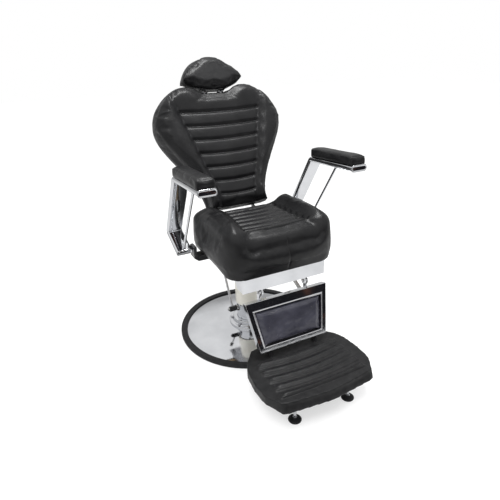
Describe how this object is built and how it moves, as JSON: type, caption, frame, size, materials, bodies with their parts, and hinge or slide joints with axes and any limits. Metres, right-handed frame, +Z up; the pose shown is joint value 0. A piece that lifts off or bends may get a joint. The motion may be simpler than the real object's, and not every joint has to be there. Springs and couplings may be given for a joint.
{
  "type": "hydraulic barber chair",
  "caption": "Reclining barber chair: black padded seat and heart-shaped back, headrest, chromed bent arms, hinged leg rest with ribbed footrest, round pedestal base.",
  "frame": {"origin": "centre of the round base on the floor", "axes": "+Z up; the sitter faces -Y; -X is the sitter's right"},
  "size_m": [0.71, 1.1556, 1.2765],
  "materials": {
    "rubber": "moulded black rubber",
    "chrome": "polished chrome plate",
    "silver_trim": "bright silver trim",
    "steel": "bright steel",
    "black_steel": "black enamel",
    "cream_steel": "cream enamel",
    "brass": "bearing brass",
    "black_leather": "black upholstery leather",
    "grey_leather": "glossy dark grey leather",
    "black_plastic": "black moulded plastic",
    "board": "plywood"
  },
  "bodies": {
    "base": {"base_rim": "rubber", "base_cover": "chrome", "base_plate": "steel", "pump_flange": "chrome", "flange_bolts": "steel", "thrust_washer": "brass"},
    "pump": {"pump_barrel": "chrome", "gland_ring": "brass", "lever_boss": "chrome", "lever_pin": "chrome", "lever_nut": "chrome"},
    "lever": {"lever_hub": "black_steel", "pump_lever": "steel", "lever_grip": "rubber"},
    "chair": {"ram": "chrome", "ram_piston": "steel", "column_shroud": "cream_steel", "mount_plate": "steel", "rail_bolts": "steel", "seat_rails": "black_steel", "spring_anchor": "steel", "seat_board": "board", "seat_cushion": "black_leather", "apron": "chrome", "arm_frame_right": "chrome", "arm_frame_left": "chrome", "arm_pad_right": "black_leather", "arm_pad_left": "black_leather", "arm_caps": "chrome", "support_rods": "chrome", "arm_brackets": "black_steel", "arm_bolts": "steel", "back_hinge_ears": "black_steel", "back_hinge_pins": "steel", "leg_hinge_ears": "steel", "leg_hinge_pins": "steel"},
    "back": {"back_cushion": "black_leather", "back_shell": "black_plastic", "back_plates": "black_steel", "crank_bar": "steel", "headrest_sockets": "steel", "headrest_ovals": "chrome"},
    "headrest": {"headrest_posts": "chrome", "headrest_plate": "steel", "headrest_pad": "black_leather"},
    "spring_case": {"spring_cylinder": "black_steel"},
    "spring_piston": {"spring_rod": "steel"},
    "leg_rest": {"leg_frame": "chrome", "leg_bead": "silver_trim", "leg_panel": "grey_leather", "leg_backing": "black_steel", "leg_arms": "chrome", "link_pin": "steel", "footrest_tread": "black_plastic", "footrest_tray": "black_steel", "footrest_brackets": "steel", "glide_stems": "chrome", "glide_feet": "rubber"},
    "link": {"link_bar": "steel"}
  },
  "joints": [
    {"name": "swivel", "type": "hinge", "parent": "base", "child": "pump", "pos_m": [0, 0, 0.011], "axis": [0, 0, 1], "continuous": true},
    {"name": "lever_swing", "type": "hinge", "parent": "pump", "child": "lever", "pos_m": [-0.088, 0, 0.122], "axis": [-1, 0, 0], "range_deg": [0, 28], "stiffness_Nm_per_rad": 1, "springref_deg": -28.65},
    {"name": "lift", "type": "slide", "parent": "pump", "child": "chair", "axis": [0, 0, 1], "range_m": [0, 0.15]},
    {"name": "recline", "type": "hinge", "parent": "chair", "child": "back", "pos_m": [0, 0.09, 0.57], "axis": [-1, 0, 0], "range_deg": [0, 40]},
    {"name": "head_height", "type": "slide", "parent": "back", "child": "headrest", "axis": [0, 0.454, 0.891], "range_m": [0, 0.09]},
    {"name": "spring_tilt", "type": "hinge", "parent": "chair", "child": "spring_case", "pos_m": [0, -0.18, 0.445], "axis": [-1, 0, 0], "range_deg": [0, 1.7]},
    {"name": "spring_stroke", "type": "slide", "parent": "spring_case", "child": "spring_piston", "axis": [0, 0.9956, 0.0933], "range_m": [-0.0745, 0]},
    {"name": "leg_swing", "type": "hinge", "parent": "chair", "child": "leg_rest", "pos_m": [0, -0.345, 0.4], "axis": [-1, 0, 0], "range_deg": [0, 40.2]},
    {"name": "link_turn", "type": "hinge", "parent": "back", "child": "link", "pos_m": [0.132, 0.14, 0.475], "axis": [-1, 0, 0], "range_deg": [-40.2, 0]}
  ],
  "couplings": [
    {"joint": "spring_tilt", "follows": "recline", "ratio": 0.04},
    {"joint": "spring_stroke", "follows": "recline", "m_per_rad": -0.10507},
    {"joint": "leg_swing", "follows": "recline", "ratio": 1},
    {"joint": "link_turn", "follows": "recline", "ratio": -1}
  ]
}
